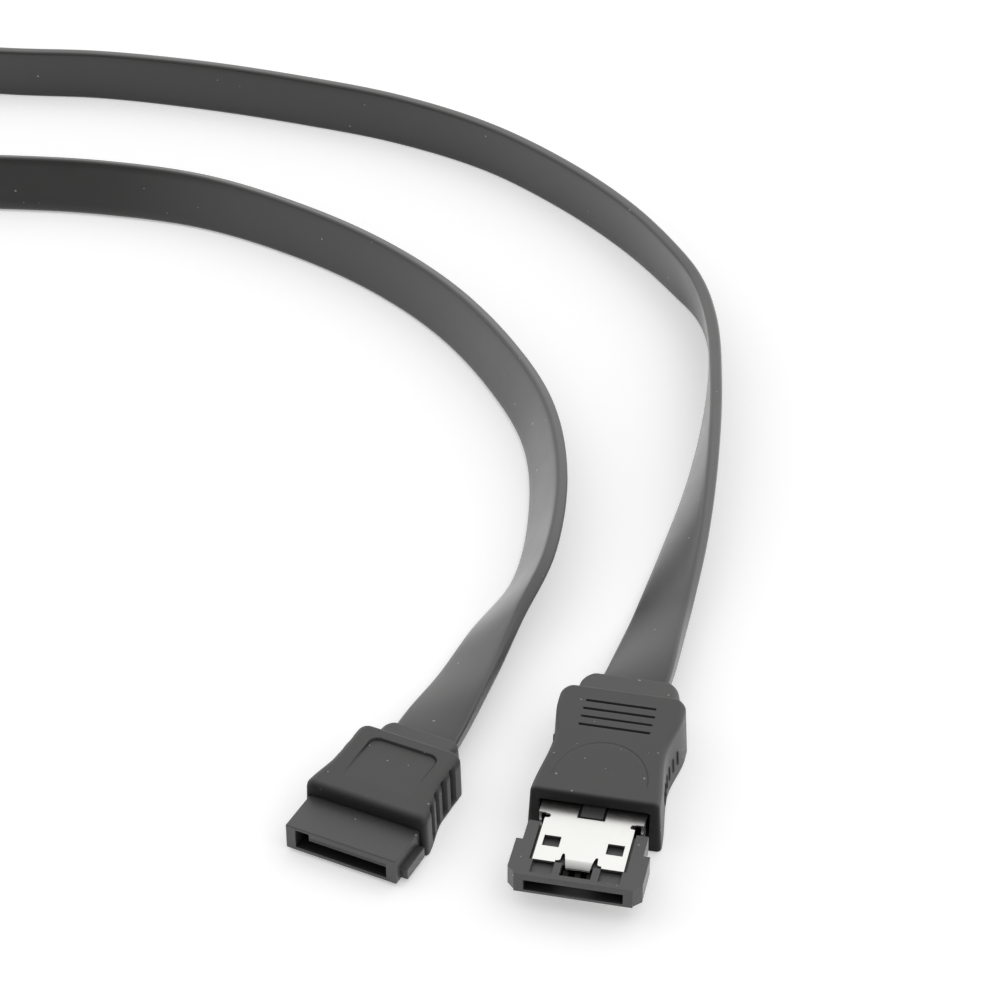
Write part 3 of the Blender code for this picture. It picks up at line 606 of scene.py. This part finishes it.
# %% Boot profile, in mm
MOUTH_CORNER = 0.25             # of the mouth's section
NECK_LIP = 0.35                 # rounding of the neck's rear edge, above and below
NECK_RISE = 0.2                 # of the neck's underside from the body to its end
NECK_CORNER, NECK_FOOT = 0.7, 0.5       # upper and lower corners of its section
HOLE_WIDER = 0.07               # play on each side of the cord
HOLE_HALF, HOLE_CORNER = 0.87, 0.5      # half its height, and its corners
HOLE_DEPTHS = np.array([0.0, 0.05, 0.7, 1.45])
FACE_RINGS = 3                  # between the neck's end and the edge of the hole


def rounding(distance, radius):
    """How far a quarter circle stands back from its edge, at a distance along it."""
    left = np.clip(1.0 - distance / radius, 0.0, 1.0)
    return radius * (1.0 - np.sqrt(1.0 - left ** 2))


def boot_rows(boot, marks):
    """Rings of a boot from the mouth's back wall to the cord hole: y and five section sizes.

    marks are extra y values that need a ring of their own, for crisp steps.
    """
    front, rear, end = boot["front"], boot["rear"], boot["end"]
    quarter = np.linspace(0.0, math.pi / 2, 6)
    mouth = np.array([boot["mouth_half"], boot["mouth_low"], boot["mouth_high"],
                      MOUTH_CORNER, MOUTH_CORNER])
    grow = np.array([1.0, -1.0, 1.0, 0.0, 0.0])
    inside = np.linspace(boot["mouth_back"], front + boot["rim"], 5)
    rows = [np.c_[inside, np.tile(mouth, (5, 1))],
            np.c_[front + boot["rim"] * (1 - np.sin(quarter[1:])),
                  mouth + boot["rim"] * (1 - np.cos(quarter[1:]))[:, None] * grow]]

    step = boot["step"]
    y = np.unique(np.round(np.concatenate([
        np.arange(front, rear, step), marks, [rear],
        front + boot["front_round"] * (1 - np.cos(quarter)),
        rear - boot["corner"] * (1 - np.cos(quarter)),
        rear - boot["rear_round"] * (1 - np.cos(quarter))]), 3))
    waist_y, full_y = front + boot["waist_at"], rear - boot["full_at"]
    half = np.where(
        y < waist_y,
        boot["mouth"] + (boot["waist"] - boot["mouth"]) * ease((y - front) / boot["waist_at"]),
        boot["waist"] + (boot["tail"] - boot["waist"]) * ease((y - waist_y) / (full_y - waist_y)))
    nose = rounding(y - front, boot["front_round"])
    back = rounding(rear - y, boot["rear_round"])
    half = half - nose - rounding(rear - y, boot["corner"])
    outside = np.c_[y, half, 0.5 * (nose + back), boot["top"] - nose - back,
                    np.full(len(y), boot["radius"]), np.full(len(y), boot["foot"])]
    share = np.linspace(0.0, 1.0, 6)[1:-1, None]
    face = rows[-1][-1] + (outside[0] - rows[-1][-1]) * share
    rows += [face, outside]

    y = np.unique(np.round(np.concatenate([
        np.linspace(rear, end, 12), end - boot["neck_deep"] * (1 - np.sin(quarter)),
        end - NECK_LIP * (1 - np.sin(quarter))]), 3))
    bend = np.clip(1.0 - (end - y) / boot["neck_deep"], 0.0, 1.0)
    lip = rounding(end - y, NECK_LIP)
    along = (y - rear) / (end - rear)
    neck = np.c_[y, boot["neck"] - boot["neck_across"] * (1 - np.sqrt(1 - bend ** 2)),
                 boot["neck_low"] + NECK_RISE * along + lip,
                 boot["neck_top"] - boot["neck_fall"] * along - lip,
                 np.full(len(y), NECK_CORNER), np.full(len(y), NECK_FOOT)]
    hole = np.array([CORD_W / MM / 2 + HOLE_WIDER, boot["cord"] - HOLE_HALF,
                     boot["cord"] + HOLE_HALF, HOLE_CORNER, HOLE_CORNER])
    share = np.linspace(0.0, 1.0, FACE_RINGS + 2)[1:-1, None]
    face = neck[-1] + (np.r_[end, hole] - neck[-1]) * share
    pocket = np.c_[end - HOLE_DEPTHS, np.tile(hole, (len(HOLE_DEPTHS), 1))]
    return np.concatenate(rows + [neck, face, pocket])


SKEW_STRETCH = 6.0              # mm behind the front where the rear's skew is reached
SHADED_PART = 0.8               # of the front rounding: the part that gets painted shade
SHARP_ANGLE = 40.0              # degrees between faces that make a hard edge
PAST_REAR = 0.001               # mm behind the body's rear where the neck begins


def boot_skin(name, boot, marks, press, finish, mouth, turn):
    """Mesh of a boot: its rings, the draft of its walls, and what is pressed into it.

    The walls lean in by the share draft over the height, and skew moves the front and the
    rear of the body sideways by so many mm. press takes x, y, z in mm and gives the shift of
    x and z, and how much painted shade the place gets. The front rounding, the mouth and the
    cord hole get painted shade as well.
    """
    rows = boot_rows(boot, marks)
    x, z = rounded_section(rows[:, 1:], np.linspace(-1, 1, boot["columns"]),
                           np.linspace(-1, 1, 12), np.linspace(0, 1, 26), 5)
    y = np.repeat(rows[:, :1], x.shape[1], axis=1)
    outer = np.zeros_like(x)
    first = np.argmax(rows[:, 1] > boot["mouth_half"] + 2 * boot["rim"])
    last = len(rows) - FACE_RINGS - len(HOLE_DEPTHS)
    outer[first:last] = 1.0
    on_neck = y > boot["rear"] + PAST_REAR
    lean = np.where(on_neck, boot["neck_draft"], boot["draft"])
    x = x * (1.0 - lean * outer * z / boot["top"])
    skew = np.interp(y, [boot["front"], boot["front"] + SKEW_STRETCH], boot["skew"])
    x = x + outer * np.where(on_neck, boot["neck_shift"], skew)
    shift_x, shift_z, painted_shade = (outer * part for part in press(x, y, z))
    # painted shade at the front_shade level: on the front face, fading over its rounding, and in
    # the mouth, on the end face round the cord hole and in the hole
    shaded = 1.0 - ease((y - boot["front"]) / (SHADED_PART * boot["front_round"]))
    painted_shade = np.maximum(painted_shade, boot["front_shade"] * np.where(outer > 0, shaded, 1.0))
    local = np.stack([x, y, z], axis=-1)
    points = np.stack([x + shift_x, y, z + shift_z], axis=-1) * MM
    piece = tube_mesh(name, place(points, mouth, turn), finish, SHARP_ANGLE)
    for label, kind, values, field in (("local", "FLOAT_VECTOR", local, "vector"),
                                       ("painted_shade", "FLOAT", painted_shade, "value")):
        layer = piece.data.attributes.new(label, kind, "POINT")
        layer.data.foreach_set(field, np.ascontiguousarray(values, np.float32).ravel())
    return piece


def edge(value, width):
    """Soft step: 0 below zero, 1 above the width."""
    return ease(value / width)


# %% Shielded plug's boot
A_BOOT = dict(front=11.7, rear=29.8, end=34.0, top=6.74, step=0.16, columns=90,
              mouth_half=5.95, mouth_low=2.1, mouth_high=5.35, mouth_back=14.7, rim=0.1,
              mouth=7.38, waist=6.55, tail=7.4, waist_at=9.0, full_at=2.6, corner=1.5,
              front_round=0.45, rear_round=0.4, radius=0.7, foot=0.4, draft=0.05,
              neck=6.6, neck_across=2.0, neck_deep=2.3, neck_low=0.9, neck_top=6.04,
              neck_fall=0.7, neck_draft=0.2, neck_shift=0.1, cord=3.37, front_shade=0.85,
              skew=(0.0, 0.0))
A_LINES = 22.96 + 1.38 * np.arange(4)             # front edges of the engraved lines
A_LINE_WIDE, A_LINE_HALF, A_LINE_DEEP = 0.34, 3.9, 0.4
A_RIBS = 17.5 + 1.36 * np.arange(6)               # middles of the grip ribs
A_RIB_HALF, A_RIB_OUT, A_RIB_LOW, A_RIB_TOP = 0.13, 0.14, 1.85, 3.6
A_RIB_SHADE = 0.8                                  # painted shade on a rib, against 1 for a line
A_TOP_SKIN = 0.05                                 # what lies this close to the top is on it
STEP_HALF = 0.02                                  # a step lies between two rings, this far off


def press_a(x, y, z):
    """Engraved lines on the top, and grip ribs standing out of both sides."""
    inset = STEP_HALF / 2
    top = z > A_BOOT["top"] - A_TOP_SKIN
    sunk = sum((y > at + inset) & (y < at + A_LINE_WIDE - inset) for at in A_LINES) > 0
    sunk = sunk & top & (np.abs(x) < A_LINE_HALF)
    rib = sum(np.abs(y - at) < A_RIB_HALF - inset for at in A_RIBS) > 0
    rib = rib & (z > A_RIB_LOW) & (z < A_RIB_TOP)
    # the third value is painted shade, in the engraved lines and on the ribs
    return A_RIB_OUT * rib * np.sign(x), -A_LINE_DEEP * sunk, 1.0 * sunk + A_RIB_SHADE * rib


steps = np.concatenate([A_LINES, A_LINES + A_LINE_WIDE, A_RIBS - A_RIB_HALF,
                        A_RIBS + A_RIB_HALF])
marks = np.concatenate([steps - STEP_HALF, steps + STEP_HALF])
piece = boot_skin("moulded_boot_shielded", A_BOOT, marks, press_a, lined_rubber, A_MOUTH, 0.0)
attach(piece, "root")
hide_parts("esata_boot")
print(piece.name, len(piece.data.polygons), "faces")

# %% Keyed plug's boot
B_BOOT = dict(front=5.3, rear=16.85, end=19.55, top=5.4, step=0.12, columns=96,
              mouth_half=6.75, mouth_low=0.35, mouth_high=3.75, mouth_back=8.0, rim=0.12,
              mouth=7.5, waist=6.5, tail=6.45, waist_at=6.2, full_at=2.2, corner=1.1,
              front_round=0.85, rear_round=0.55, radius=0.95, foot=0.3, draft=0.025,
              neck=4.8, neck_across=1.1, neck_deep=1.4, neck_low=0.5, neck_top=4.85,
              neck_fall=0.5, neck_draft=0.06, neck_shift=0.0, cord=2.7, front_shade=0.9,
              skew=(0.05, -0.15))
B_GROOVES = 8.0 + 2.05 * np.arange(4)             # middles of the finger grooves
# half width and depth of a groove, and how much painted shade it gets
B_GROOVE_HALF, B_GROOVE_DEEP, B_GROOVE_SHADE = 0.62, 0.75, 0.95
B_GROOVE_STEEP = 1.6                              # over 1 the groove has a flat bottom
B_GROOVE_LOW, B_GROOVE_TOP = 0.45, 5.15
B_LOW_FADE, B_TOP_FADE = 0.3, 0.5                 # heights over which a groove runs out
PANEL_HALF, PANEL_FRONT, PANEL_REAR, PANEL_CORNER, PANEL_DEEP = 4.15, 7.6, 15.2, 1.1, 0.3
PANEL_STARTS, PANEL_LEVELS = 0.4, 0.6             # from its front, and from its rear
PANEL_WALL = 0.1                                  # width of the step round the panel
RIM_WIDE, RIM_OUT, RIM_IN = 0.2, 0.04, 0.08       # width of the line of painted shade in the step, and its soft edges
# how much painted shade that line gets
RIM_SHADE = 0.9
B_TOP_SKIN = 0.02


def press_b(x, y, z):
    """Finger grooves in both sides, and a rounded panel that sinks towards its rear."""
    near = np.min(np.abs(y[..., None] - B_GROOVES), axis=-1)
    share = np.clip(1.0 - near / B_GROOVE_HALF, 0.0, 1.0)
    window = edge(z - B_GROOVE_LOW, B_LOW_FADE) * edge(B_GROOVE_TOP - z, B_TOP_FADE)
    groove = np.minimum(B_GROOVE_STEEP * share, 1.0) * window
    middle = (PANEL_FRONT + PANEL_REAR) / 2
    over = np.hypot(np.maximum(np.abs(x) - PANEL_HALF + PANEL_CORNER, 0.0),
                    np.maximum(np.abs(y - middle) - (PANEL_REAR - middle) + PANEL_CORNER, 0.0))
    inside = PANEL_CORNER - over
    slope_length = PANEL_REAR - PANEL_FRONT - PANEL_STARTS - PANEL_LEVELS
    fade = np.clip((y - PANEL_FRONT - PANEL_STARTS) / slope_length, 0.0, 1.0)
    fade = fade * (z > B_BOOT["top"] - B_TOP_SKIN)
    sunk = edge(inside, PANEL_WALL) * fade
    rim = edge(inside, RIM_OUT) * edge(RIM_WIDE - inside, RIM_IN) * fade
    # the third value is painted shade in the grooves and in the step round the panel
    return (-B_GROOVE_DEEP * groove * np.sign(x), -PANEL_DEEP * sunk,
            B_GROOVE_SHADE * groove + RIM_SHADE * rim)


piece = boot_skin("moulded_boot_keyed", B_BOOT, np.array([]), press_b, boot_rubber,
                  B_MOUTH, B_TURN)
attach(piece, "root")
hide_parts("sata_boot")
print(piece.name, len(piece.data.polygons), "faces")

# %% CAD pieces keep their shape and get their finish
finishes = {"esata_housing": shielded_plastic, "sata_housing": keyed_plastic,
            "esata_shield_top": stamped_steel, "esata_shield_bottom": stamped_steel}
for name, solid in frame["nodes"].items():
    if "contact" in name:
        finishes[name] = contact_gold
    if name in finishes:
        solid.material_slots[0].material = finishes[name]
